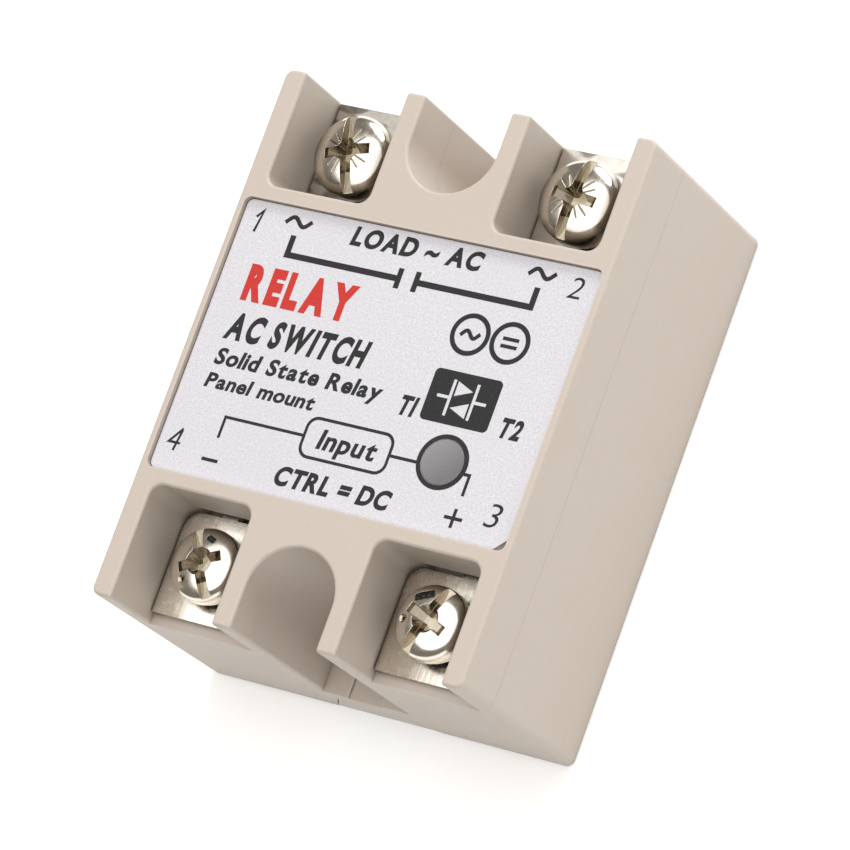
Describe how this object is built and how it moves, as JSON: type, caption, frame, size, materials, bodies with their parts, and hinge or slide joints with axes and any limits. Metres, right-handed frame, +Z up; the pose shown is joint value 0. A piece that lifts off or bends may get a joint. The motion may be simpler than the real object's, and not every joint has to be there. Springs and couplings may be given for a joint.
{
  "type": "solid state relay",
  "caption": "Block-shaped relay module with recessed screw terminals at both ends, mounting notches over a metal base, and a printed label with an indicator window.",
  "frame": {"origin": "centre of the metal base's mounting face, on the plane the module rests on", "axes": "+Z up out of the label, +Y towards the load terminals, +X to the right with the control terminals nearest"},
  "size_m": [0.045, 0.059, 0.0268],
  "materials": {
    "housing_plastic": "fine moulded satin",
    "base_metal": "rolled, satin",
    "label_film": "fine-grained silver-white print film",
    "label_ink": "screen-printed ink",
    "label_red": "screen-printed ink",
    "window_plastic": "translucent smoked lens",
    "terminal_nickel": "nickel-plated brass",
    "screw_nickel": "bright nickel plate",
    "washer_steel": "nickel-plated spring steel",
    "nut_steel": "zinc-plated steel",
    "ceramic": "fired alumina",
    "copper": "bare copper",
    "black_epoxy": "moulded epoxy",
    "potting_resin": "cast resin",
    "board_laminate": "solder-masked laminate",
    "white_package": "moulded package",
    "resistor_body": "lacquered",
    "capacitor_case": "moulded case",
    "red_lamp": "clear tinted resin"
  },
  "bodies": {
    "housing_body": {"housing": "housing_plastic", "base_plate": "base_metal", "label": "label_film", "led_window": "window_plastic", "terminal_plate_1": "terminal_nickel", "terminal_nut_1": "nut_steel", "terminal_plate_2": "terminal_nickel", "terminal_nut_2": "nut_steel", "terminal_plate_3": "terminal_nickel", "terminal_nut_3": "nut_steel", "terminal_plate_4": "terminal_nickel", "terminal_nut_4": "nut_steel", "ceramic_insulator": "ceramic", "heat_spreader": "copper", "triac": "black_epoxy", "load_strip_1": "copper", "load_strip_2": "copper", "gate_pin": "copper", "potting": "potting_resin", "circuit_board": "board_laminate", "optocoupler": "white_package", "resistors": "resistor_body", "transistor": "black_epoxy", "snubber_capacitor": "capacitor_case", "reverse_diode": "black_epoxy", "indicator_led": "red_lamp"},
    "washer_1": {"clamp_washer_1": "washer_steel"},
    "screw_1": {"terminal_screw_1": "screw_nickel"},
    "washer_2": {"clamp_washer_2": "washer_steel"},
    "screw_2": {"terminal_screw_2": "screw_nickel"},
    "washer_3": {"clamp_washer_3": "washer_steel"},
    "screw_3": {"terminal_screw_3": "screw_nickel"},
    "washer_4": {"clamp_washer_4": "washer_steel"},
    "screw_4": {"terminal_screw_4": "screw_nickel"}
  },
  "joints": [
    {"name": "terminal_1_travel", "type": "slide", "parent": "housing_body", "child": "washer_1", "axis": [0, 0, 1], "range_m": [-0.00109, 0.0024]},
    {"name": "terminal_1_turn", "type": "hinge", "parent": "washer_1", "child": "screw_1", "pos_m": [-0.01378, 0.0228, 0.0211], "axis": [0, 0, 1], "range_deg": [-490.2, 1080.2]},
    {"name": "terminal_2_travel", "type": "slide", "parent": "housing_body", "child": "washer_2", "axis": [0, 0, 1], "range_m": [-0.00109, 0.0024]},
    {"name": "terminal_2_turn", "type": "hinge", "parent": "washer_2", "child": "screw_2", "pos_m": [0.01378, 0.0228, 0.0211], "axis": [0, 0, 1], "range_deg": [-490.2, 1080.2]},
    {"name": "terminal_3_travel", "type": "slide", "parent": "housing_body", "child": "washer_3", "axis": [0, 0, 1], "range_m": [-0.00069, 0.00245]},
    {"name": "terminal_3_turn", "type": "hinge", "parent": "washer_3", "child": "screw_3", "pos_m": [0.01378, -0.0228, 0.0205], "axis": [0, 0, 1], "range_deg": [-355.2, 1260.2]},
    {"name": "terminal_4_travel", "type": "slide", "parent": "housing_body", "child": "washer_4", "axis": [0, 0, 1], "range_m": [-0.00069, 0.00245]},
    {"name": "terminal_4_turn", "type": "hinge", "parent": "washer_4", "child": "screw_4", "pos_m": [-0.01378, -0.0228, 0.0205], "axis": [0, 0, 1], "range_deg": [-355.2, 1260.2]}
  ],
  "couplings": [
    {"joint": "terminal_1_turn", "follows": "terminal_1_travel", "rad_per_m": 7854},
    {"joint": "terminal_2_turn", "follows": "terminal_2_travel", "rad_per_m": 7854},
    {"joint": "terminal_3_turn", "follows": "terminal_3_travel", "rad_per_m": 8976},
    {"joint": "terminal_4_turn", "follows": "terminal_4_travel", "rad_per_m": 8976}
  ]
}
